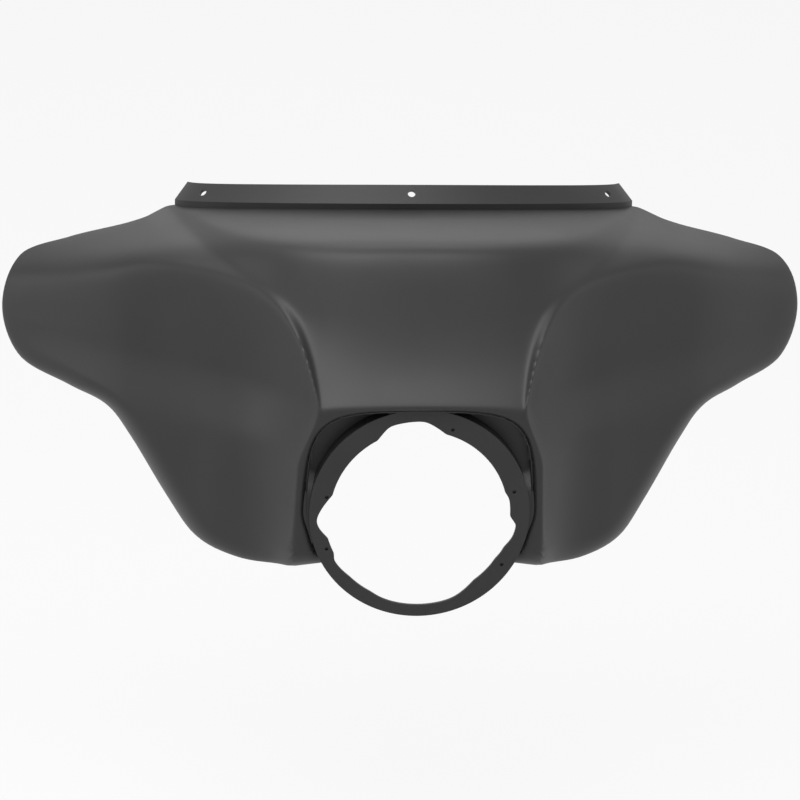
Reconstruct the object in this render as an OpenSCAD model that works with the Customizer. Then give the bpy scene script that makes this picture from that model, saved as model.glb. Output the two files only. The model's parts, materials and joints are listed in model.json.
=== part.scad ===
// Outer fairing of a touring motorcycle, moulded in one piece.
// The origin is the middle of the headlight ring's front face. The headlight looks along -Y and +Z is up.
// The front is one sheet given by its depth behind the ring's face, as a function of the place across and up.

/* [Overall] */
// Half of the width, from the middle to a wing tip
half_width = 420; // [405:1:435]
// Thickness of the moulded wall
wall = 3.5; // [2.5:0.1:4.5]

/* [Headlight ring] */
// Outer radius of the ring
ring_r = 110.5; // [108:0.5:113]
// Thickness of the ring's front plate
ring_t = 3; // [2:0.5:4]
// Depth of the hoop behind the ring's front face
hoop_depth = 30; // [27:1:34]
// Thickness of the hoop
hoop_wall = 3; // [2.5:0.1:4]
// Width of the ring at its two ears
ear_w = 22.2; // [20:0.1:25]
// Width of the ring at the smaller pads beside the ears
pad_w = 17; // [15.5:0.1:18.5]
// Width of the ring where it is cut back
band_w = 12.1; // [10:0.1:14]
// Radius of the small screw holes in the ring
pilot_r = 1.9; // [1.2:0.1:2.4]
// Distance of the screw holes from the ring's outer edge
pilot_inset = 15.5; // [14:0.5:17]

/* [Headlight opening] */
// Height of the top of the opening over the ring's centre
open_top = 109; // [106:0.5:114]
// Space between the ring and the side of the opening
open_gap = 2; // [1.5:0.1:5]
// Squareness of the opening's upper corners
open_power = 4.4; // [3:0.1:6]
// Depth of the recess behind the opening
recess_y = 20; // [16:1:24]

/* [Lip] */
// Reach of the lip in front of the ring's face
lip_reach = 11; // [8:0.5:14]
// Width of the strip that turns in round the opening
lip_w = 12; // [9:0.5:14]
// Half of the bezel's width
bezel_half = 124.5; // [122:0.5:127]
// Distance that the bezel's upper corners stand in
corner_in = 20.5; // [17:0.5:23]
// Lean of the bezel's sides, as depth for each unit of height
bezel_lean = 0.09; // [0.05:0.01:0.12]

/* [Nose] */
// Depth of the concave flare above the lip
flare_depth = 24; // [18:1:28]
// Lean of the upper nose, as depth for each unit of height
nose_lean = 0.36; // [0.3:0.01:0.42]
// Distance that the nose falls back at its upper corners
nose_bow = 30; // [24:1:36]
// Widening of the bezel below the lip's corners
bezel_w = 16; // [12:1:20]

/* [Wings] */
// Distance of the shoulder's corner from the middle
shoulder_x = 139; // [134:1:144]
// Depth of the shoulder's corner
shoulder_y = 60; // [56:1:66]
// Sweep of the wings, as depth for each unit of width
wing_sweep = 0.62; // [0.58:0.01:0.66]
// Depth of the hollow beside the nose
cheek_depth = 28; // [24:1:32]
// Highest point of the shoulder ridge
crest_top = 215; // [210:1:220]
// Width of the rounded edge round the wings
rim_roll = 28; // [20:1:34]

/* [Deck] */
// Height of the crease at the foot of the windshield flange
crease_top = 281.5; // [277:0.5:286]
// Depth of the crease in the middle
crease_back = 130; // [125:1:135]
// Plan radius of the windshield flange
flange_bow = 373; // [360:1:400]
// Length that the deck is drawn back, for each unit of its height over the brow
deck_draw = 1.3; // [1.1:0.05:1.5]
// Length that the wing tips are drawn back
tip_draw = 24; // [18:1:30]

/* [Windshield flange] */
// Half of the flange's length at its foot
flange_half = 240; // [235:1:245]
// Height of the step below the flange
riser_h = 6; // [4:0.5:8]
// Width of the flange
flange_w = 22; // [19:0.5:25]
// Lean of the flange back from upright
flange_lean = 45; // [40:1:50]
// Thickness of the flange
flange_t = 4; // [3:0.1:4.5]
// Radius of a windshield hole
hole_r = 4; // [3:0.1:5]
// Distance of an outer windshield hole from the flange's end
hole_inset = 23; // [20:0.5:30]
// Slant of the flange's ends, across
end_slant = 3.5; // [2:0.5:8]

/* [Hidden] */

$fn = 96;
pilot_facets = 24;

// Columns on each side of the middle, those of them under the flange, and rows from the opening to the rim
columns = 40;
flange_columns = 10;
lip_rows = 4;
face_rows = 15;
rim_rows = 5;
rows = lip_rows + face_rows + rim_rows;

open_half = ring_r + open_gap;
web_r = ring_r - hoop_wall / 2;

// Angles between which the ring's smaller pads lie, counted up from the right
pad_angles = [[-35, -17], [-3, 14], [168, 175], [197, 208]];

// Angles by which the flanks of the ears and of the pads open outward, and their length past the edges
ear_slant = 15;
pad_slant = 5;
flank_over = 4;
hole_x = flange_half - hole_inset;
corner_x = bezel_half - corner_in;
lip_top = 122.5;

// Direction in which the deck and the tips are drawn back, below level, and the height where that starts
draw_angle = 20;
draw_from = 251;

// Smooth larger and smaller of two depths; the last number sets how far the corner is rounded
function smax(a, b, k) = (a + b + sqrt((a - b) * (a - b) + k * k)) / 2;
function smin(a, b, k) = (a + b - sqrt((a - b) * (a - b) + k * k)) / 2;
function step_up(v) = let (c = min(1, max(0, v))) c * c * (3 - 2 * c);
function mix(a, b, t) = a + (b - a) * t;

// Plan curve of the nose's side, the hollow beside it and the swept wing
function sweep_y(u) =
    shoulder_y + wing_sweep * (u - shoulder_x) + cheek_depth * (1 - exp((shoulder_x - u) / 35));

// Height of the shoulder ridge
function crest_z(u) =
    crest_top - 0.0012 * (u - 220) * (u - 220) - 14 * exp((shoulder_x - u) / 20);

// Crease at the foot of the flange, which runs on as the upper edge of the wing
function crease_y(u) =
    let (v = min(u, flange_bow * 0.9))
    smin(crease_back + flange_bow - sqrt(flange_bow * flange_bow - v * v), 215 + 0.25 * (u - 235), 8);
function crease_z(u) =
    crease_top - 24 * u * u / (flange_half * flange_half) - 16 * step_up((u - flange_half) / 75);

// Opening: its edge along a ray from the ring's centre, and the distance of a point from that edge
function open_reach(a) =
    a > 0
    ? 1 / pow(pow(cos(a) / open_half, open_power) + pow(sin(a) / open_top, open_power), 1 / open_power)
    : mix(open_half, web_r, step_up(-a / 14));
function open_gap_at(u, z) = norm([u, z]) - open_reach(atan2(z, u));

// Depths of the sheets that the front is blended from
function lip_y(u, z) =
    -lip_reach + 4 * u * u / (104 * 104) + bezel_lean * max(0, 119 - z);
function strip_y(u, z) = lip_y(u, z) + 0.5 * (lip_w - open_gap_at(u, z));
function nose_y(u, z) =
    let (h = z - 123)
    let (bow = nose_bow * pow(u / shoulder_x, 3) * (0.25 + 0.75 * step_up((z - 115) / 80)))
    1 - lip_reach + nose_lean * h + flare_depth * (1 - exp(-h / 35)) + bow;
function side_y(u, z) =
    sweep_y(u + 1 - bezel_w * step_up((115 - z) / 70))
    - 0.06 * (crest_z(u) - z) * step_up((u - 130) / 80);
function shelf_y(u, z) = sweep_y(u) + (2 - 1.1 * step_up((u - 260) / 130)) * (z - crest_z(u));
function deck_y(u, z) = crease_y(u) - 2 * (crease_z(u) - z);

// Depth of the front, before its edge is rounded
function front_y(u, z) =
    let (upper = smax(deck_y(u, z), smin(nose_y(u, z), shelf_y(u, z), 10), 10))
    let (face = smax(upper, side_y(u, z), 11 + 6 * step_up((u - 120) / 80) + 5 * step_up((u - 280) / 120)))
    smax(smax(face, lip_y(u, z), 4), strip_y(u, z), 3);

// Rim of the wing from the flange's end round the tip and down to the ring, as [across, depth, up]
rim = [
    [flange_half, crease_y(flange_half), crease_z(flange_half)],
    [half_width - 130, 236, 232],
    [half_width - 70, 253, 210.9],
    [half_width - 19, 266, 185.9],
    [half_width, 271, 128.8],
    [half_width - 18, 260, 76.9],
    [half_width - 69, 242, 54],
    [half_width - 107, 226, 40],
    [half_width - 133, 205, 11],
    [250, 173, -43],
    [220, 140, -76],
    [178, 97, -84],
    [136, 57, -75],
    [web_r * cos(35), 30, -web_r * sin(35)]
];
rim_spans = len(rim) - 1;

function catmull(p, q, r, s, t) =
    (2 * q + (r - p) * t + (2 * p - 5 * q + 4 * r - s) * t * t + (3 * q - p - 3 * r + s) * t * t * t) / 2;
function rim_at(w) =
    let (k = min(floor(w), rim_spans - 1))
    let (before = k > 0 ? rim[k - 1] : 2 * rim[0] - rim[1])
    let (after = k < rim_spans - 1 ? rim[k + 2] : 2 * rim[rim_spans] - rim[rim_spans - 1])
    catmull(before, rim[k], rim[k + 1], after, w - k);

// Outer boundary at a column, counted from the middle
function edge_at(c) =
    c <= flange_columns
    ? let (u = flange_half * c / flange_columns) [u, crease_y(u), crease_z(u)]
    : rim_at((c - flange_columns) * rim_spans / (columns - flange_columns));

// Half of the bezel's width at a height
function ridge_x(z) = bezel_half - corner_in * step_up((z - 42) / 75);

// Places that guide a column in the front view: edge of the opening, ridge of the bezel, bend, and rim.
// The last column under the flange follows the side edge of the nose.
nose_bend = [140.5, 212];
function guide(c) =
    let (edge = edge_at(c), e = [edge.x, edge.z])
    let (s = min(1, c / flange_columns), w = max(0, (c - flange_columns) / (columns - flange_columns)))
    let (low = 119 - 160 * w)
    let (ridge = w == 0 ? [corner_x * s, lip_top - 3.5 * pow(s, 4)] : [ridge_x(low), low])
    let (run = edge_at(min(c + 0.1, columns)) - edge_at(max(c - 0.1, 0)))
    let (square = [run.z, -run.x] / norm([run.x, run.z]))
    let (side_bend = e + square * min(50, 0.4 * norm(e - ridge)))
    let (bend = w == 0
        ? [nose_bend.x * s, nose_bend.y - 6 * (1 - s)]
        : mix(nose_bend, side_bend, step_up(w / 0.15)))
    let (a = atan2(ridge.y, ridge.x))
    let (o = open_reach(a) * [cos(a), sin(a)])
    let (late = step_up((w - 0.75) / 0.25))
    let (start = mix(ridge, mix(o, e, 0.3), late))
    [o, start, mix(bend, mix(start, e, 0.5), late), e];
guides = [for (c = [0 : columns]) guide(c)];

// Place of a column and row in the front view
function place_at(c, r) =
    let (g = guides[c])
    let (b = min(0.35, rim_roll / (2 * norm(g[3] - g[2]))))
    let (t = r <= lip_rows + face_rows
        ? (1 - b) * (r - lip_rows) / face_rows
        : 1 - b * (1 - sin(90 * (r - lip_rows - face_rows) / rim_rows)))
    r <= lip_rows
    ? mix(g[0], g[1], r / lip_rows)
    : (1 - t) * (1 - t) * g[1] + 2 * t * (1 - t) * g[2] + t * t * g[3];

// Points of the rim in the front view, each with the depth that its rounding adds
rim_line = [
    for (c = [0 : 0.5 : columns])
        let (e = edge_at(c))
        [e.x, e.z, e.y - front_y(e.x, e.z)]
];

// Distance of a point from the rim in the front view, with the rounding's depth there
function to_rim(p) =
    let (found = [
        for (k = [0 : len(rim_line) - 2])
            let (a = rim_line[k], b = rim_line[k + 1])
            let (run = [b.x - a.x, b.y - a.y], way = p - [a.x, a.y])
            let (t = min(1, max(0, way * run / (run * run))))
            [norm(way - run * t), mix(a.z, b.z, t)]
    ])
    let (nearest = min([for (f = found) f[0]]))
    [for (f = found) if (f[0] == nearest) f][0];

// Slides the deck and the wing tips back and a little down
function drawn(p) =
    let (over = p.z * cos(draw_angle) + p.y * sin(draw_angle) - draw_from)
    let (far = deck_draw * smax(over, 0, 12) + tip_draw * step_up((p.x - 290) / 127))
    p + far * [0, cos(draw_angle), -sin(draw_angle)];

// Front point at a column and row
function front_at(c, r) =
    let (p = place_at(c, r))
    let (near = to_rim(p))
    let (q = max(0, 1 - near[0] / rim_roll))
    drawn([p.x, front_y(p.x, p.y) + near[1] * (1 - sqrt(1 - q * q)), p.y]);

half = [for (c = [0 : columns]) [for (r = [0 : rows]) front_at(c, r)]];
function at(c, r) = let (p = half[abs(c)][r]) c < 0 ? [-p.x, p.y, p.z] : p;

// Direction into the wall at a front point
function inward(c, r) =
    let (a = at(min(c + 1, columns), r) - at(max(c - 1, -columns), r))
    let (b = at(c, min(r + 1, rows)) - at(c, max(r - 1, 0)))
    let (n = cross(a, b))
    n / -norm(n);

// Unit directions in plan at the flange: back, and outward from the opening's edge
function flange_back(u) = [-u / flange_bow, sqrt(1 - u * u / (flange_bow * flange_bow)), 0];
function open_out(c) =
    let (a = at(min(c + 1, columns), 0) - at(max(c - 1, -columns), 0))
    [-a.z, 0, a.x] / norm([a.x, a.z]);

// Section of the wall at a column: recess floor, recess wall, then the front, as pairs of front and back
function open_section(c) =
    let (e = at(c, 0), out = open_out(c), d = norm([e.x, e.z]))
    let (f = e + out * wall)
    let (g = [e.x, 0, e.z] * web_r / d)
    concat(
        [[g + [0, recess_y, 0], g + [0, recess_y + wall, 0]]],
        [[[e.x, recess_y, e.z], [f.x, recess_y + wall, f.z]]],
        [[e, [f.x, front_y(abs(f.x), f.z) + 1.12 * wall, f.z]]],
        [for (r = [1 : rows - 1]) [at(c, r), at(c, r) + inward(c, r) * wall]],
        [[at(c, rows), abs(c) <= flange_columns
            ? at(c, rows) + flange_back(at(c, rows).x) * wall - [0, 0, wall]
            : at(c, rows) + inward(c, rows) * wall]]
    );

// Point moved to the middle of the hoop's wall, where the sheet ends in the ring
function in_hoop(p) = let (d = norm([p.x, p.z])) [p.x * web_r / d, p.y, p.z * web_r / d];
function section(c) =
    let (s = open_section(c))
    abs(c) < columns ? s : [for (pair = s) [for (p = pair) in_hoop(p)]];

// The flange's two rows over the crease: top of the step, and free edge
function flange_rows(c) =
    let (p = at(c, rows), back = flange_back(p.x))
    let (step = p + [0, 0, riser_h])
    let (taper = 1 - end_slant / flange_half)
    let (rise = back * sin(flange_lean) + [0, 0, cos(flange_lean)])
    let (in = back * cos(flange_lean) - [0, 0, sin(flange_lean)])
    let (tip = step + rise * flange_w)
    let (free = [tip.x * taper, tip.y, tip.z])
    [
        [step, step + back * wall - [0, 0, 0.62 * wall]],
        [free, free + in * flange_t]
    ];

deep = rows + 3;
all_columns = 2 * columns;
first = columns - flange_columns;
last = columns + flange_columns;
strip_points = (all_columns + 1) * deep * 2;

// Number of a point: column, row and side, with the flange's two rows above the last row of the front
function spot(c, r, side) =
    r < deep
    ? (c * deep + r) * 2 + side
    : strip_points + ((c - first) * 2 + r - deep) * 2 + side;
function patch(a, b, c, d) = [[a, c, b], [a, d, c]];

// Which diagonal of each patch of the front lies closer to the surface: true for the one that rises outward
flat = [for (c = [0 : columns]) [for (r = [0 : rows]) place_at(c, r)]];
function gap_at(p, q) =
    let (m = (p + q) / 2)
    abs((front_y(p.x, p.y) + front_y(q.x, q.y)) / 2 - front_y(m.x, m.y));
leans = [
    for (c = [0 : columns - 1])
        [for (r = [0 : rows - 1]) gap_at(flat[c][r], flat[c + 1][r + 1]) < gap_at(flat[c + 1][r], flat[c][r + 1])]
];
function lean_at(c, r) =
    r < 2 || r >= rows + 2 ? true : leans[c < columns ? columns - 1 - c : c - columns][r - 2];

// Four points as two triangles, so that both sides mirror each other
function facing(c, lean, p) =
    (c < columns) != lean ? patch(p[0], p[1], p[2], p[3]) : patch(p[1], p[2], p[3], p[0]);

module shell() {
    sections = [for (c = [-columns : columns]) each section(c)];
    flange = [for (c = [-flange_columns : flange_columns]) each flange_rows(c)];
    points = [for (pair = concat(sections, flange)) each pair];
    skins = [
        for (c = [0 : all_columns - 1], r = [0 : deep + (c >= first && c < last ? 0 : -2)])
            each concat(
                facing(c, lean_at(c, r),
                    [spot(c, r, 0), spot(c + 1, r, 0), spot(c + 1, r + 1, 0), spot(c, r + 1, 0)]),
                facing(c, lean_at(c, r),
                    [spot(c + 1, r + 1, 1), spot(c + 1, r, 1), spot(c, r, 1), spot(c, r + 1, 1)])
            )
    ];
    inner_edge = [
        for (c = [0 : all_columns - 1])
            each facing(c, true, [spot(c, 0, 0), spot(c, 0, 1), spot(c + 1, 0, 1), spot(c + 1, 0, 0)])
    ];
    outer_edge = [
        for (c = [0 : all_columns - 1])
            let (r = deep + (c >= first && c < last ? 1 : -1))
            each facing(c, true, [spot(c, r, 0), spot(c + 1, r, 0), spot(c + 1, r, 1), spot(c, r, 1)])
    ];
    ends = [
        for (r = [0 : deep - 2])
            each concat(
                patch(spot(0, r, 0), spot(0, r + 1, 0), spot(0, r + 1, 1), spot(0, r, 1)),
                patch(spot(all_columns, r, 0), spot(all_columns, r, 1),
                    spot(all_columns, r + 1, 1), spot(all_columns, r + 1, 0))
            )
    ];
    flange_ends = [
        for (r = [deep - 1 : deep])
            each concat(
                patch(spot(first, r, 0), spot(first, r + 1, 0), spot(first, r + 1, 1), spot(first, r, 1)),
                patch(spot(last, r, 0), spot(last, r, 1), spot(last, r + 1, 1), spot(last, r + 1, 0))
            )
    ];
    polyhedron(points, concat(skins, inner_edge, outer_edge, ends, flange_ends));
}

// Stands a flat outline up, so that it reaches back from a depth
module upright(from, depth) {
    translate([0, from + depth, 0])
        rotate([90, 0, 0])
            linear_extrude(depth)
                children();
}

// Outline between two slanted flanks, from inside the ring to past its outer edge
module sector(a, b, inner, slant) {
    function polar(r, angle) = r * [cos(angle), sin(angle)];
    outer = ring_r + flank_over;
    low = inner - flank_over;
    polygon([
        polar(low, a + slant / 8), polar(outer, a - slant), polar(2 * outer, (a + b) / 2),
        polar(outer, b + slant), polar(low, b - slant / 8)
    ]);
}

// Part of the ring that is wider than the rest, between two angles at its inner edge
module ear(a, b, width, slant) {
    intersection() {
        difference() {
            circle(ring_r - 1);
            circle(ring_r - width);
        }
        sector(a, b, ring_r - width, slant);
    }
}

module ring_plate() {
    difference() {
        circle(ring_r);
        circle(ring_r - band_w);
    }
    ear(16, 71, ear_w, ear_slant);
    ear(120, 167, ear_w, ear_slant);
    for (pad = pad_angles)
        ear(pad[0], pad[1], pad_w, pad_slant);
}

// Screw holes of the ring, each at an angle and a distance from the outer edge
module pilot_holes() {
    for (hole = [[14, 0.85 * pilot_inset], [71, pilot_inset], [169, pilot_inset], [202, 0.7 * pilot_inset]])
        rotate([0, -hole[0], 0])
            translate([ring_r - hole[1], 0, 0])
                rotate([90, 0, 0])
                    cylinder(h = 3 * ring_t, r = pilot_r, center = true, $fn = pilot_facets);
}

module headlight_ring() {
    difference() {
        upright(0, ring_t)
            ring_plate();
        pilot_holes();
    }
    upright(0, hoop_depth)
        difference() {
            circle(ring_r);
            circle(ring_r - hoop_wall);
        }
}

// Windshield hole, square to the flange
module windshield_hole(u) {
    back = flange_back(u);
    crease = drawn([abs(u), crease_y(abs(u)), crease_z(abs(u))]);
    foot = [u, crease.y, crease.z + riser_h];
    middle = foot + (back * sin(flange_lean) + [0, 0, cos(flange_lean)]) * flange_w * 0.55;
    translate(middle)
        rotate([0, 0, asin(u / flange_bow)])
            rotate([90 - flange_lean, 0, 0])
                cylinder(h = 6 * flange_t, r = hole_r, center = true);
}

module outer_fairing() {
    color([0.2, 0.2, 0.205])
        union() {
            difference() {
                shell();
                for (u = [-hole_x, 0, hole_x])
                    windshield_hole(u);
            }
            headlight_ring();
        }
}

outer_fairing();
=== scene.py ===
import json
import math

import bpy
import numpy as np
from mathutils import Matrix, Vector

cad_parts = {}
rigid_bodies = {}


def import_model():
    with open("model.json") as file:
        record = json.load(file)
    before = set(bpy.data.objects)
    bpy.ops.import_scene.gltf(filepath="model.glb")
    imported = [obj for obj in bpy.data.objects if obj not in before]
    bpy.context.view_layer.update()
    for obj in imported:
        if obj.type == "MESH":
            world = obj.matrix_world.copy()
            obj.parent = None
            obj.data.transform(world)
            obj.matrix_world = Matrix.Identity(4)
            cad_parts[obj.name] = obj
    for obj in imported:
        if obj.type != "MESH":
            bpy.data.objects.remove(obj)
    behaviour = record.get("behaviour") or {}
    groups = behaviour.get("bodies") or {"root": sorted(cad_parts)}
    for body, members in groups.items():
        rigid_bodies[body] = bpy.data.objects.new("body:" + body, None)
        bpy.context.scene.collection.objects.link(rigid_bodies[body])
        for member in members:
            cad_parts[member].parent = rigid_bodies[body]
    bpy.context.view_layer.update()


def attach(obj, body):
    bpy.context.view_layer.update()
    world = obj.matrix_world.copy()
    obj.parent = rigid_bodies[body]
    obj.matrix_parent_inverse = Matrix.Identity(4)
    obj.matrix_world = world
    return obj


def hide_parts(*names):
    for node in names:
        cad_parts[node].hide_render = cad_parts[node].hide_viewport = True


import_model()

# Sizes in millimetres, the same as in part.scad
HALF_WIDTH = 420.0
WALL = 3.5

# Headlight ring
RING_R = 110.5
RING_T = 3.0
HOOP_DEPTH = 30.0
HOOP_WALL = 3.0
EAR_R = 88.3
CUT_R = 98.4
PAD_R = 93.5
PILOT_R = 1.9
PILOT_INSET = 15.5

# Opening and recess
OPEN_TOP = 109.0
OPEN_GAP = 2.0
OPEN_HALF = RING_R + OPEN_GAP
OPEN_POWER = 4.4
OPEN_TURN = 14.0
WEB_R = RING_R - HOOP_WALL / 2
RECESS_Y = 20.0
GAP_Y = 5.0

# Lip and bezel
LIP_REACH = 11.0
LIP_W = 12.0
LIP_HALF = 104.0
LIP_BOW = 4.0
BEZEL_W = 16.0
BEZEL_TOP = 119.0
BEZEL_LEAN = 0.09
BEZEL_START = 115.0
BEZEL_RUN = 70.0

# Nose panel
FLARE_DEPTH = 24.0
FLARE_RUN = 35.0
NOSE_LEAN = 0.36
NOSE_BOW = 30.0

# Shoulders, cheeks and wings
SHOULDER_X = 139.0
SHOULDER_Y = 60.0
WING_SWEEP = 0.62
CHEEK_DEPTH = 28.0
CHEEK_RUN = 35.0
CREST_TOP = 215.0
CREST_X = 220.0
CREST_FALL = 0.0012
CREST_DIP = 14.0
CREST_DIP_RUN = 20.0
SIDE_LEAN = 0.06
SHELF_SLOPE = 2.0
SHELF_EASE = 1.1
DECK_SLOPE = 3.6
DECK_EASE = 0.6
RIM_ROLL = 28.0

# Crease under the windshield flange, and the flange
CREASE_TOP = 281.5
CREASE_BACK = 130.0
CREASE_FALL = 24.0
CREASE_END_FALL = 16.0
CREASE_END_RUN = 75.0
CREASE_END_X = 235.0
CREASE_END_Y = 215.0
CREASE_END_SLOPE = 0.25
CREASE_BLEND = 8.0
FLANGE_BOW = 373.0
FLANGE_HALF = 240.0
FLANGE_W = 22.0
FLANGE_LEAN = math.radians(45)
FLANGE_T = 4.0
FLANGE_TAPER = 3.5
RISER_H = 6.0
HOLE_R = 4.0
HOLE_X = 217.0
HOLE_RISE = 0.55

# Slide of the deck and the wing tips away from the brow
DRAW_ANGLE = math.radians(20)
DRAW_FROM = 251.0
DRAW_BLEND = 12.0
DECK_DRAW = 1.3
TIP_DRAW = 24.0

# Finer forms that only this script has
ROLL_DEPTH = 8.0
BEAD = 2.2
BEAD_OUT = 1.3
LIP_ARCH = 6.0
NOSE_FOOT = 118.0
OPEN_ARCH = 0.07
BROW_RISE = 19.0
HOOP_START = 1.0
HOOP_INSET = 0.1
HOOP_RISE = 9.5
PILOT_DEPTH = 2.6
NOTCH = 4.6
NOTCH_AT = 184.0
NOTCH_POWER = 80
FLANK_BEND = 1.5

# Sizes of the rounds between the surfaces
SHELF_ROUND = 10.0
DECK_ROUND = 16.0
DECK_ROUND_EASE = 6.0
EDGE_ROUND = 12.0
EDGE_ROUND_EASE = 2.0
WING_ROUND = 12.0
BEZEL_ROUND = 4.0
STRIP_ROUND = 1.0

# Stretches over which a form sets in: where each starts and how long it is
SHOULDER_IN = (150.0, 60.0)
SHOULDER_OUT = (240.0, 60.0)
NEAR_NOSE = (120.0, 60.0)
WING_OUT = (240.0, 150.0)
SIDE_OUT = (130.0, 80.0)
SHELF_OUT = (260.0, 130.0)
BROW_OUT = (230.0, 120.0)
TIP_OUT = (290.0, 127.0)
NOSE_UP = (115.0, 80.0)
RIDGE_UP = (42.0, 75.0)
RECESS_UP = (40.0, 40.0)

# Columns and rows of the fine sheet, on each side of the middle. The columns lie closer near the
# nose's side edge. The place of a column along the rim runs from 0 in the middle to CREASE_RUN at
# the flange's end and FULL_RUN at the ring.
COLUMNS = 164
FLANGE_COLUMNS = 44
CREASE_RUN = 40.0
FULL_RUN = 150.0
LIP_ROWS = 24
LIP_CROWDING = 1.6
FACE_ROWS = 60
RIM_ROWS = 12
FLANGE_STEPS = 8
RING_STEPS = 360
PLATE_STEPS = 720

# Lines that the rows follow: the nose's edge, and the bend towards the rim
RIDGE_X = 124.5
RIDGE_IN = 20.5
RIDGE_Z = 118.3
RIDGE_SAG = 0.7
RIDGE_FALL = 160.0
BEND_X = 140.5
BEND_LOW = 206.0
BEND_HIGH = 212.0
BEND_REACH = 50.0


def smax(a, b, k):
    """The larger of two values, with a round of size k where they are equal."""
    return (a + b + np.sqrt((a - b) ** 2 + k * k)) / 2


def smin(a, b, k):
    return (a + b - np.sqrt((a - b) ** 2 + k * k)) / 2


def step_up(v):
    c = np.clip(v, 0, 1)
    return c * c * (3 - 2 * c)


def over(v, stretch):
    """0 before a stretch, 1 after it, and a soft step on it."""
    start, run = stretch
    return step_up((v - start) / run)


def mix(a, b, t):
    return a + (b - a) * t


# The front is a depth y for each place u to the side and z up. It is blended from these surfaces.
def sweep_y(u):
    hollow = CHEEK_DEPTH * (1 - np.exp((SHOULDER_X - u) / CHEEK_RUN))
    return SHOULDER_Y + WING_SWEEP * (u - SHOULDER_X) + hollow


def crest_z(u):
    dip = CREST_DIP * np.exp((SHOULDER_X - u) / CREST_DIP_RUN)
    return CREST_TOP - CREST_FALL * (u - CREST_X) ** 2 - dip


def crease_y(u):
    v = np.minimum(u, FLANGE_BOW * 0.9)
    middle = CREASE_BACK + FLANGE_BOW - np.sqrt(FLANGE_BOW ** 2 - v * v)
    return smin(middle, CREASE_END_Y + CREASE_END_SLOPE * (u - CREASE_END_X), CREASE_BLEND)


def crease_z(u):
    end = CREASE_END_FALL * over(u, (FLANGE_HALF, CREASE_END_RUN))
    return CREASE_TOP - CREASE_FALL * u * u / FLANGE_HALF ** 2 - end


def open_reach(a):
    ca = np.abs(np.cos(a)) / OPEN_HALF
    sa = np.abs(np.sin(a)) / OPEN_TOP
    upper = 1 / (ca ** OPEN_POWER + sa ** OPEN_POWER) ** (1 / OPEN_POWER)
    lower = mix(OPEN_HALF, WEB_R, step_up(-np.degrees(a) / OPEN_TURN))
    arch = 1 - OPEN_ARCH * np.sin(a) ** 2 * np.cos(a) ** 2
    return np.where(a > 0, upper * arch, lower)


def lip_y(u, z):
    lean = BEZEL_LEAN * np.maximum(0, BEZEL_TOP - z)
    return -LIP_REACH + LIP_BOW * u * u / LIP_HALF ** 2 + lean


def strip_y(u, z):
    """Lip that rolls in round the opening and ends in a small bead."""
    gap = np.hypot(u, z) - open_reach(np.arctan2(z, u))
    roll = 1 - np.clip((gap - BEAD) / (LIP_W - BEAD), 0, 1)
    side = np.clip(gap / BEAD * 2 - 1, -1, 1)
    rolled = ROLL_DEPTH * (1 - np.sqrt(1 - roll * roll))
    beaded = ROLL_DEPTH - BEAD_OUT * np.sqrt(1 - side * side)
    return lip_y(u, z) + np.where(gap < BEAD, np.minimum(rolled, beaded), rolled)


def nose_y(u, z):
    h = z - NOSE_FOOT + LIP_ARCH * np.minimum(1, (u / LIP_HALF) ** 2)
    bow = NOSE_BOW * (u / SHOULDER_X) ** 3 * (0.25 + 0.75 * over(z, NOSE_UP))
    return 1 - LIP_REACH + NOSE_LEAN * h + FLARE_DEPTH * (1 - np.exp(-h / FLARE_RUN)) + bow


def side_y(u, z):
    bezel = BEZEL_W * step_up((BEZEL_START - z) / BEZEL_RUN)
    return sweep_y(u + 1 - bezel) - SIDE_LEAN * (crest_z(u) - z) * over(u, SIDE_OUT)


def shelf_y(u, z):
    return sweep_y(u) + (SHELF_SLOPE - SHELF_EASE * over(u, SHELF_OUT)) * (z - crest_z(u))


def deck_y(u, z):
    slope = DECK_SLOPE - DECK_EASE * over(u, SHOULDER_IN) - over(u, SHOULDER_OUT)
    return crease_y(u) - slope * (crease_z(u) - z)


def front_y(u, z):
    below = smin(nose_y(u, z), shelf_y(u, z), SHELF_ROUND)
    upper = smax(deck_y(u, z), below, DECK_ROUND - DECK_ROUND_EASE * over(u, SHOULDER_IN))
    edge = EDGE_ROUND - EDGE_ROUND_EASE * over(u, NEAR_NOSE) + WING_ROUND * over(u, WING_OUT)
    face = smax(upper, side_y(u, z), edge)
    return smax(smax(face, lip_y(u, z), BEZEL_ROUND), strip_y(u, z), STRIP_ROUND)


def above_brow(y, z):
    return z * math.cos(DRAW_ANGLE) + y * math.sin(DRAW_ANGLE) - DRAW_FROM


def drawn(p):
    """Slides the deck and the wing tips back and a little down from the brow.

    The crease under the flange keeps its place, however far up the brow lies.
    """
    u, y, z = np.abs(p[..., 0]), p[..., 1], p[..., 2]
    later = BROW_RISE * (1 - over(u, BROW_OUT))
    height = above_brow(y, z)
    v = np.minimum(u, FLANGE_HALF)
    crease = above_brow(crease_y(v), crease_z(v))
    share = smax(crease, 0 * crease, DRAW_BLEND) / smax(crease - later, 0 * crease, DRAW_BLEND)
    deck = DECK_DRAW * share * smax(height - later, 0 * height, DRAW_BLEND)
    far = deck + TIP_DRAW * over(u, TIP_OUT)
    back = np.array([0, math.cos(DRAW_ANGLE), -math.sin(DRAW_ANGLE)])
    return p + far[..., None] * back


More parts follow.
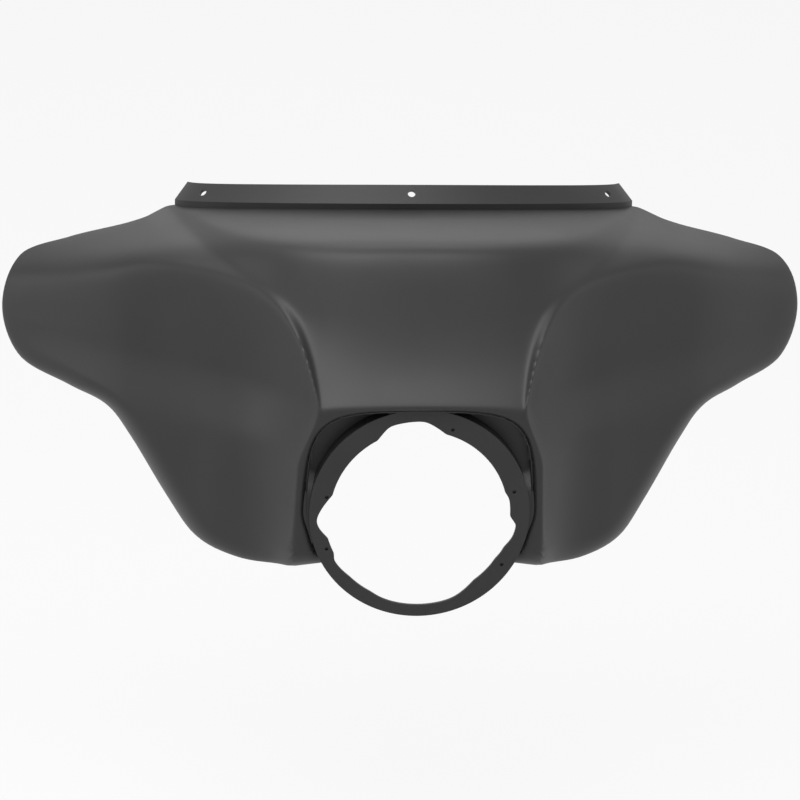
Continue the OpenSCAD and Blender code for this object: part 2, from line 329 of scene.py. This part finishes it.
# Rim of the right half, from the flange's end round the wing tip to the ring
RIM = np.array([
    [FLANGE_HALF, crease_y(FLANGE_HALF), crease_z(FLANGE_HALF)],
    [HALF_WIDTH - 130, 236, 232],
    [HALF_WIDTH - 70, 253, 210.9],
    [HALF_WIDTH - 19, 266, 185.9],
    [HALF_WIDTH, 271, 128.8],
    [HALF_WIDTH - 18, 260, 76.9],
    [HALF_WIDTH - 69, 242, 54],
    [HALF_WIDTH - 107, 226, 40],
    [HALF_WIDTH - 133, 205, 11],
    [250, 173, -43],
    [220, 140, -76],
    [178, 97, -84],
    [136, 57, -75],
    [WEB_R * math.cos(math.radians(35)), 30, -WEB_R * math.sin(math.radians(35))],
])
SPANS = len(RIM) - 1


def rim_at(w):
    """Point on a smooth curve through the rim's points."""
    k = min(int(w), SPANS - 1)
    t = w - k
    p = RIM[k - 1] if k > 0 else 2 * RIM[0] - RIM[1]
    q, r = RIM[k], RIM[k + 1]
    s = RIM[k + 2] if k < SPANS - 1 else 2 * RIM[SPANS] - RIM[SPANS - 1]
    bend = (2 * p - 5 * q + 4 * r - s) * t * t
    twist = (3 * q - p - 3 * r + s) * t ** 3
    return (2 * q + (r - p) * t + bend + twist) / 2


def run_of(k):
    if k <= FLANGE_COLUMNS:
        return CREASE_RUN * (1 - (1 - k / FLANGE_COLUMNS) ** 1.4)
    t = (k - FLANGE_COLUMNS) / (COLUMNS - FLANGE_COLUMNS)
    return CREASE_RUN + (FULL_RUN - CREASE_RUN) * (0.35 * t + 0.65 * t * t)


def edge_at(c):
    if c <= CREASE_RUN:
        u = FLANGE_HALF * c / CREASE_RUN
        return np.array([u, float(crease_y(u)), float(crease_z(u))])
    return rim_at((c - CREASE_RUN) * SPANS / (FULL_RUN - CREASE_RUN))


def ridge_u(z):
    """Place of the nose's side edge at height z."""
    return RIDGE_X - RIDGE_IN * over(z, RIDGE_UP)


def column(c):
    """Places u, z of one column of the sheet, from the opening over the nose's edge to the rim."""
    e = edge_at(c)[[0, 2]]
    w = max(0.0, (c - CREASE_RUN) / (FULL_RUN - CREASE_RUN))
    if w == 0:
        s = c / CREASE_RUN
        ridge = np.array([LIP_HALF * s, RIDGE_Z + RIDGE_SAG * s * s])
        bend = np.array([BEND_X * s, BEND_LOW + (BEND_HIGH - BEND_LOW) * s])
    else:
        z = BEZEL_TOP - RIDGE_FALL * w
        ridge = np.array([float(ridge_u(z)), z])
        t = edge_at(min(c + 0.1, FULL_RUN))[[0, 2]] - edge_at(c - 0.1)[[0, 2]]
        n = np.array([t[1], -t[0]]) / np.linalg.norm(t)
        bend = e + n * min(BEND_REACH, 0.4 * np.linalg.norm(e - ridge))
        bend = mix(np.array([BEND_X, BEND_HIGH]), bend, float(step_up(w / 0.15)))
    b = math.atan2(ridge[1], ridge[0])
    o = float(open_reach(np.float64(b))) * np.array([math.cos(b), math.sin(b)])
    late = float(step_up((w - 0.75) / 0.25))
    ridge = mix(ridge, mix(o, e, 0.3), late)
    bend = mix(bend, mix(ridge, e, 0.5), late)
    lip = [mix(o, ridge, (r / LIP_ROWS) ** LIP_CROWDING) for r in range(LIP_ROWS + 1)]
    b = min(0.35, RIM_ROLL / (2 * np.linalg.norm(e - bend)))
    face = [(1 - b) * r / FACE_ROWS for r in range(1, FACE_ROWS + 1)]
    edge = [1 - b * (1 - math.sin(math.pi / 2 * r / RIM_ROWS)) for r in range(1, RIM_ROWS + 1)]
    t = np.array(face + edge)[:, None]
    curve = (1 - t) ** 2 * ridge + 2 * t * (1 - t) * bend + t * t * e
    return np.concatenate([np.array(lip), curve])


# Line of the rim, and how far the front falls back to it
LINE = np.array([edge_at(c) for c in range(int(FULL_RUN) + 1)])
DROP = np.maximum(LINE[:, 1] - front_y(LINE[:, 0], LINE[:, 2]), -1)


def surface(u, z):
    best = np.full(u.shape, 1e9)
    add = np.zeros(u.shape)
    for k in range(len(LINE) - 1):
        a, b = LINE[k, [0, 2]], LINE[k + 1, [0, 2]]
        run = b - a
        wx, wz = u - a[0], z - a[1]
        t = np.clip((wx * run[0] + wz * run[1]) / (run @ run), 0, 1)
        d = np.hypot(wx - run[0] * t, wz - run[1] * t)
        near = d < best
        best = np.where(near, d, best)
        add = np.where(near, mix(DROP[k], DROP[k + 1], t), add)
    q = np.clip(1 - best / RIM_ROLL, 0, 1)
    y = front_y(u, z) + add * (1 - np.sqrt(1 - q * q))
    return drawn(np.stack([u, y, z], axis=-1))


def front_sheet():
    flat = np.array([column(run_of(k)) for k in range(COLUMNS + 1)])
    return surface(flat[..., 0], flat[..., 1])


def both_sides(half):
    left = half[:0:-1] * np.array([-1, 1, 1])
    return np.concatenate([left, half])


def normals(grid):
    a = np.gradient(grid, axis=0)
    b = np.gradient(grid, axis=1)
    n = np.cross(a, b)
    return n / np.linalg.norm(n, axis=-1, keepdims=True)


def sheet_faces(start, columns, rows, flip=False):
    c, r = np.meshgrid(np.arange(columns - 1), np.arange(rows - 1), indexing="ij")
    a = start + c * rows + r
    quads = np.stack([a, a + 1, a + rows + 1, a + rows], axis=-1).reshape(-1, 4)
    return quads[:, ::-1] if flip else quads


def edge_faces(k, half):
    """Faces between the front and the rear points along one edge."""
    return np.stack([k[:-1], k[:-1] + half, k[1:] + half, k[1:]], axis=-1)


def new_mesh(name, points, faces):
    mesh = bpy.data.meshes.new(name)
    corners = [list(map(int, f)) for f in faces]
    mesh.from_pydata((np.asarray(points) / 1000).tolist(), [], corners)
    mesh.validate()
    obj = bpy.data.objects.new(name, mesh)
    bpy.context.scene.collection.objects.link(obj)
    return obj


def recess_rows(inner, back):
    """Rows of points that go from the opening's edge in to the ring's hoop, in front and behind."""
    d = np.hypot(inner[:, 0], inner[:, 2])
    tangent = np.gradient(inner, axis=0)
    out = np.stack([-tangent[:, 2], 0 * d, tangent[:, 0]], axis=-1)
    out /= np.linalg.norm(out, axis=-1, keepdims=True)
    out *= np.sign((out * inner).sum(-1, keepdims=True))
    floor = inner + out * WALL
    deep_edge = floor.copy()
    deep_edge[:, 1] = back[:, 1, 1]
    low = over(inner[:, 2], RECESS_UP)
    beside = mix(GAP_Y, RECESS_Y, step_up((d - RING_R - 2.5) / 6))
    deep = mix(beside, RECESS_Y, low)
    wall_front = inner.copy()
    wall_front[:, 1] = deep
    wall_back = floor.copy()
    wall_back[:, 1] = deep + WALL
    web_front = inner * (WEB_R / d)[:, None]
    web_front[:, 1] = deep
    web_back = web_front.copy()
    web_back[:, 1] = deep + WALL
    return deep_edge, (web_front, wall_front), (web_back, wall_back)


def flange_rows(foot, behind, leaning):
    """Rows of points up the flange, in front and behind."""
    up = np.array([0, 0, 1.0])
    down = np.array([0, 0, 0.62 * WALL])
    rise = leaning * math.sin(FLANGE_LEAN) + up * math.cos(FLANGE_LEAN)
    into = leaning * math.cos(FLANGE_LEAN) - up * math.sin(FLANGE_LEAN)
    step = foot + up * RISER_H
    free = step + rise * FLANGE_W
    free[:, 0] *= 1 - FLANGE_TAPER / FLANGE_HALF
    step_back = step + leaning * WALL - down
    front = [foot, step]
    rear = [behind, step_back]
    for k in range(1, FLANGE_STEPS + 1):
        front.append(mix(step, free, k / FLANGE_STEPS))
        rear.append(mix(step_back, free + into * FLANGE_T, k / FLANGE_STEPS))
    return np.stack(front, axis=1), np.stack(rear, axis=1)


def shell_mesh():
    sheet = both_sides(front_sheet())
    n = normals(sheet)
    n *= np.sign(n[COLUMNS, LIP_ROWS + 20, 1])
    back = sheet + n * WALL
    count = sheet.shape[0]
    first = COLUMNS - FLANGE_COLUMNS
    last = COLUMNS + FLANGE_COLUMNS
    u = sheet[:, -1, 0]
    away = np.sqrt(np.maximum(0.05, 1 - u * u / FLANGE_BOW ** 2))
    lean = np.stack([-u / FLANGE_BOW, away, 0 * u], axis=-1)
    crest = sheet[:, -1] + lean * WALL - np.array([0, 0, WALL])
    back[first:last + 1, -1] = crest[first:last + 1]
    deep_edge, recess_front, recess_back = recess_rows(sheet[:, 0], back)
    back[:, 0] = deep_edge
    front = np.concatenate([row[:, None] for row in recess_front] + [sheet], axis=1)
    rear = np.concatenate([row[:, None] for row in recess_back] + [back], axis=1)
    rows = front.shape[1]
    points = np.concatenate([front.reshape(-1, 3), rear.reshape(-1, 3)])
    half = count * rows
    faces = [sheet_faces(0, count, rows), sheet_faces(half, count, rows, True)]
    rim = np.arange(count) * rows + rows - 1
    for lo, hi in ((0, first), (last, count - 1)):
        faces.append(edge_faces(rim[lo:hi + 1], half))
    for c in (0, count - 1):
        quads = edge_faces(c * rows + np.arange(rows), half)
        faces.append(quads[:, ::-1] if c else quads)
    middle = slice(first, last + 1)
    strips = flange_rows(sheet[middle, -1], back[middle, -1], lean[middle])
    return points, np.concatenate(faces), strips


def strip_solid(front, rear):
    count, rows = front.shape[:2]
    half = count * rows
    points = np.concatenate([front.reshape(-1, 3), rear.reshape(-1, 3)])
    faces = [sheet_faces(0, count, rows), sheet_faces(half, count, rows, True)]
    for r in (0, rows - 1):
        quads = edge_faces(np.arange(count) * rows + r, half)
        faces.append(quads if r else quads[:, ::-1])
    for c in (0, count - 1):
        quads = edge_faces(c * rows + np.arange(rows), half)
        faces.append(quads[:, ::-1] if c else quads)
    return points, np.concatenate(faces)


def cutter(name, centre, axis, radius, length):
    bpy.ops.mesh.primitive_cylinder_add(vertices=48, radius=radius / 1000, depth=length / 1000)
    tool = bpy.context.object
    tool.name = name
    turned = Vector(axis).to_track_quat("Z", "Y").to_matrix().to_4x4()
    tool.matrix_world = Matrix.Translation(Vector(centre) / 1000) @ turned
    return tool


def cut(obj, tools):
    for tool in tools:
        m = obj.modifiers.new("cut", "BOOLEAN")
        m.operation = "DIFFERENCE"
        m.solver = "EXACT"
        m.object = tool
        bpy.context.view_layer.objects.active = obj
        bpy.ops.object.modifier_apply(modifier=m.name)
        bpy.data.objects.remove(tool, do_unlink=True)


points, faces, flange_strips = shell_mesh()
shell = new_mesh("fairing_shell", points, faces)
flange = new_mesh("fairing_flange", *strip_solid(*flange_strips))

holes = []
for u in (-HOLE_X, 0, HOLE_X):
    back = np.array([-u / FLANGE_BOW, math.sqrt(1 - u * u / FLANGE_BOW ** 2), 0])
    up = np.array([0, 0, 1.0])
    crease = np.array([u, float(crease_y(abs(u))), float(crease_z(abs(u)))])
    foot = drawn(crease) + up * RISER_H
    rise = back * math.sin(FLANGE_LEAN) + up * math.cos(FLANGE_LEAN)
    axis = up * math.sin(FLANGE_LEAN) - back * math.cos(FLANGE_LEAN)
    holes.append(cutter("hole", foot + rise * FLANGE_W * HOLE_RISE, axis, HOLE_R, 6 * FLANGE_T))
cut(flange, holes)


# Ears and pads of the ring: from one angle to another, inner radius, and rise of the flanks a degree
STEPS = (
    (16, 73, EAR_R, 0.75),
    (120, 166, EAR_R + 1.4, 0.9),
    (-51, -33, 91.8, 0.42),
    (-33, -24, PAD_R, 0.7),
    (-1, 14, 91.2, 1.5),
    (197, 206, 94.9, 1.1),
    (225, 240, 96.6, 0.3),
)

# Angle of each pilot hole, and how far it lies in from the ring's outer edge
PILOTS = (
    (14, 0.85 * PILOT_INSET),
    (71, PILOT_INSET),
    (169, PILOT_INSET),
    (202, 0.7 * PILOT_INSET),
    (-33, 10),
)


def ring_inner(a):
    deg = math.degrees(a)
    reach = CUT_R + NOTCH * max(0, math.cos(math.radians(deg - NOTCH_AT))) ** NOTCH_POWER
    for low, high, inner, rise in STEPS:
        middle, half = (low + high) / 2, (high - low) / 2
        off = max(0, abs((deg - middle + 180) % 360 - 180) - half)
        bend = math.hypot(off, FLANK_BEND) - FLANK_BEND
        reach = -math.log(math.exp(-reach) + math.exp(-(inner + rise * bend)))
    return reach


def hoop_inner(a):
    return RING_R - HOOP_WALL


def plate_back(a):
    return RING_T


def hoop_back(a):
    return HOOP_DEPTH - HOOP_RISE * max(0, -math.sin(a)) ** 2


def lathe_ring(name, inner, outer, low, high, steps):
    points, faces = [], []
    for k in range(steps):
        a = 2 * math.pi * k / steps
        for r in (inner(a), outer):
            for y in (low, high(a)):
                points.append((r * math.cos(a), y, r * math.sin(a)))
    for k in range(steps):
        i, j = 4 * k, 4 * ((k + 1) % steps)
        faces += [(i, i + 2, j + 2, j), (i + 1, j + 1, j + 3, i + 3)]
        faces += [(i, j, j + 1, i + 1), (i + 2, i + 3, j + 3, j + 2)]
    return new_mesh(name, points, faces)


plate = lathe_ring("ring_plate", ring_inner, RING_R, 0, plate_back, PLATE_STEPS)
hoop = lathe_ring("ring_hoop", hoop_inner, RING_R - HOOP_INSET, HOOP_START, hoop_back, RING_STEPS)
pilots = []
for deg, inset in PILOTS:
    a = math.radians(deg)
    reach = RING_R - inset
    centre = (reach * math.cos(a), 0, reach * math.sin(a))
    pilots.append(cutter("pilot", centre, (0, 1, 0), PILOT_R, 2 * PILOT_DEPTH))
cut(plate, pilots)

for obj in bpy.data.objects:
    obj.select_set(False)
for obj in (shell, flange, plate, hoop):
    obj.select_set(True)
bpy.context.view_layer.objects.active = shell
bpy.ops.object.join()
shell.name = "fairing_body"
shell.data.name = "fairing_body"
bpy.ops.object.mode_set(mode="EDIT")
bpy.ops.mesh.select_all(action="SELECT")
bpy.ops.mesh.normals_make_consistent(inside=False)
bpy.ops.object.mode_set(mode="OBJECT")
shell.data.shade_smooth()
shell.data.set_sharp_from_angle(angle=math.radians(38))

# Looks of the plastic, as linear colours
BLACK_LOW = (0.0165, 0.0165, 0.0175, 1)
BLACK_HIGH = (0.0215, 0.0215, 0.0227, 1)
SPECK = (0.05, 0.05, 0.052, 1)
NO_SPECK = (0, 0, 0, 1)
SPECK_SHARE = 0.62
ROUGHNESS = (0.4, 0.52)
SPECULAR = 0.42


def plastic():
    mat = bpy.data.materials.new("matt_black_plastic")
    mat.use_nodes = True
    nodes, links = mat.node_tree.nodes, mat.node_tree.links
    nodes.clear()
    out = nodes.new("ShaderNodeOutputMaterial")
    skin = nodes.new("ShaderNodeBsdfPrincipled")
    links.new(skin.outputs["BSDF"], out.inputs["Surface"])
    place = nodes.new("ShaderNodeTexCoord")

    def noise(scale, detail=None):
        node = nodes.new("ShaderNodeTexNoise")
        node.inputs["Scale"].default_value = scale
        if detail is not None:
            node.inputs["Detail"].default_value = detail
        links.new(place.outputs["Object"], node.inputs["Vector"])
        return node.outputs["Fac"]

    def ramp(value, start, start_color, end, end_color):
        node = nodes.new("ShaderNodeValToRGB")
        low, high = node.color_ramp.elements
        low.position, low.color = start, start_color
        high.position, high.color = end, end_color
        links.new(value, node.inputs["Fac"])
        return node.outputs["Color"]

    cloud = noise(14, 4)
    tint = ramp(cloud, 0.3, BLACK_LOW, 0.72, BLACK_HIGH)
    speck = nodes.new("ShaderNodeTexVoronoi")
    speck.inputs["Scale"].default_value = 260
    links.new(place.outputs["Object"], speck.inputs["Vector"])
    dots = ramp(speck.outputs["Distance"], 0.0, SPECK, 0.11, NO_SPECK)
    few = nodes.new("ShaderNodeMath")
    few.operation = "GREATER_THAN"
    few.inputs[1].default_value = SPECK_SHARE
    links.new(noise(90), few.inputs[0])
    add = nodes.new("ShaderNodeMix")
    add.data_type = "RGBA"
    add.blend_type = "ADD"
    links.new(few.outputs[0], add.inputs["Factor"])
    links.new(tint, add.inputs["A"])
    links.new(dots, add.inputs["B"])
    links.new(add.outputs["Result"], skin.inputs["Base Color"])
    rough = nodes.new("ShaderNodeMapRange")
    rough.inputs["To Min"].default_value, rough.inputs["To Max"].default_value = ROUGHNESS
    links.new(cloud, rough.inputs["Value"])
    links.new(rough.outputs["Result"], skin.inputs["Roughness"])
    skin.inputs["Specular IOR Level"].default_value = SPECULAR
    bump = nodes.new("ShaderNodeBump")
    bump.inputs["Strength"].default_value = 0.25
    bump.inputs["Distance"].default_value = 0.0002
    links.new(noise(1300, 3), bump.inputs["Height"])
    links.new(bump.outputs["Normal"], skin.inputs["Normal"])
    return mat


shell.data.materials.clear()
shell.data.materials.append(plastic())
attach(shell, "root")
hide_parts("outer_fairing")

# Soft lamps: name, place and aim in metres, width and length, and watts
MIDDLE = (0, 0, 0.1)
TOP_SIZE = (1.3, 1.4)
FRONT_SIZE = (1.4, 1.4)
SIDE_SIZE = (1.2, 1.2)
LAMPS = (
    ("top_left_front", (-1.3, -1.4, 2.6), (-1.3, -1.4, 0), TOP_SIZE, 34),
    ("top_left", (-1.3, 0, 2.6), (-1.3, 0, 0), TOP_SIZE, 11),
    ("top_front", (0, -1.4, 2.6), (0, -1.4, 0), TOP_SIZE, 27),
    ("top_back", (0, 1.4, 2.6), (0, 1.4, 0), TOP_SIZE, 16),
    ("top_right_front", (1.3, -1.4, 2.6), (1.3, -1.4, 0), TOP_SIZE, 5),
    ("front_left", (-2.6, -3.0, 1.0), MIDDLE, FRONT_SIZE, 8),
    ("front_right", (2.6, -3.0, 1.0), MIDDLE, FRONT_SIZE, 6),
    ("side_left", (-3.2, -0.2, 0.6), MIDDLE, SIDE_SIZE, 11),
    ("side_right", (3.2, -0.2, 0.6), MIDDLE, SIDE_SIZE, 5),
    ("back", (0, 3.6, 2.0), MIDDLE, (1.6, 1.2), 6),
)
for name, place, aim, size, watts in LAMPS:
    data = bpy.data.lights.new(name, "AREA")
    data.shape = "RECTANGLE"
    data.size, data.size_y = size
    data.energy = watts
    obj = bpy.data.objects.new(name, data)
    bpy.context.scene.collection.objects.link(obj)
    obj.location = place
    obj.rotation_euler = (Vector(aim) - Vector(place)).to_track_quat("-Z", "Y").to_euler()

WHITE = (1, 1, 1, 1)
DIM_COLOR = (0.95, 0.97, 1, 1)
DIM_STRENGTH = 0.05
FLOOR_Z = -0.45
FLOOR_COLOR = (0.93, 0.93, 0.93, 1)
FLOOR_GLOW = 0.9


def seen_white(nodes, links):
    """1 for camera, glossy and transmission rays, and 0 for others."""
    path = nodes.new("ShaderNodeLightPath")
    seen = path.outputs["Is Camera Ray"]
    for ray in ("Is Glossy Ray", "Is Transmission Ray"):
        larger = nodes.new("ShaderNodeMath")
        larger.operation = "MAXIMUM"
        links.new(seen, larger.inputs[0])
        links.new(path.outputs[ray], larger.inputs[1])
        seen = larger.outputs[0]
    return seen


world = bpy.data.worlds.new("studio")
bpy.context.scene.world = world
world.use_nodes = True
nodes, links = world.node_tree.nodes, world.node_tree.links
nodes.clear()
out = nodes.new("ShaderNodeOutputWorld")
dim = nodes.new("ShaderNodeBackground")
dim.inputs["Color"].default_value = DIM_COLOR
dim.inputs["Strength"].default_value = DIM_STRENGTH
white = nodes.new("ShaderNodeBackground")
white.inputs["Color"].default_value = WHITE
white.inputs["Strength"].default_value = 1
choose = nodes.new("ShaderNodeMixShader")
links.new(seen_white(nodes, links), choose.inputs["Fac"])
links.new(dim.outputs[0], choose.inputs[1])
links.new(white.outputs[0], choose.inputs[2])
links.new(choose.outputs[0], out.inputs["Surface"])

bpy.ops.mesh.primitive_plane_add(size=30, location=(0, 0, FLOOR_Z))
floor = bpy.context.object
floor.name = "floor"
pale = bpy.data.materials.new("pale_floor")
pale.use_nodes = True
nodes, links = pale.node_tree.nodes, pale.node_tree.links
coat = nodes["Principled BSDF"]
coat.inputs["Base Color"].default_value = FLOOR_COLOR
coat.inputs["Roughness"].default_value = 0.9
glow = nodes.new("ShaderNodeEmission")
glow.inputs["Color"].default_value = WHITE
glow.inputs["Strength"].default_value = 1
share = nodes.new("ShaderNodeMath")
share.operation = "MULTIPLY"
share.inputs[1].default_value = FLOOR_GLOW
links.new(seen_white(nodes, links), share.inputs[0])
choose = nodes.new("ShaderNodeMixShader")
links.new(share.outputs[0], choose.inputs["Fac"])
links.new(coat.outputs[0], choose.inputs[1])
links.new(glow.outputs[0], choose.inputs[2])
links.new(choose.outputs[0], nodes["Material Output"].inputs["Surface"])
floor.data.materials.append(pale)

# Camera solved from the photograph, with the ring as the scale and the rim's symmetry for the angles
AZIMUTH = math.radians(-4.4)
ELEVATION = math.radians(20)
ROLL = math.radians(1.5)
DISTANCE = 4.4
RING_RIGHT = 0.0195
RING_DOWN = 0.114
right = Vector((math.cos(AZIMUTH), math.sin(AZIMUTH), 0))
level = math.cos(ELEVATION)
back = Vector((math.sin(AZIMUTH) * level, -math.cos(AZIMUTH) * level, math.sin(ELEVATION)))
up = back.cross(right)
tilted = right * math.cos(ROLL) + up * math.sin(ROLL)
raised = back.cross(tilted)
place = -RING_RIGHT * tilted + RING_DOWN * raised + DISTANCE * back
camera_data = bpy.data.cameras.new("camera")
camera_data.lens = 198
camera_data.sensor_width = 36
camera_data.clip_end = 50
camera = bpy.data.objects.new("camera", camera_data)
bpy.context.scene.collection.objects.link(camera)
camera.matrix_world = Matrix((
    (tilted.x, raised.x, back.x, place.x),
    (tilted.y, raised.y, back.y, place.y),
    (tilted.z, raised.z, back.z, place.z),
    (0, 0, 0, 1),
))
bpy.context.scene.camera = camera
bpy.context.scene.view_settings.view_transform = "Standard"
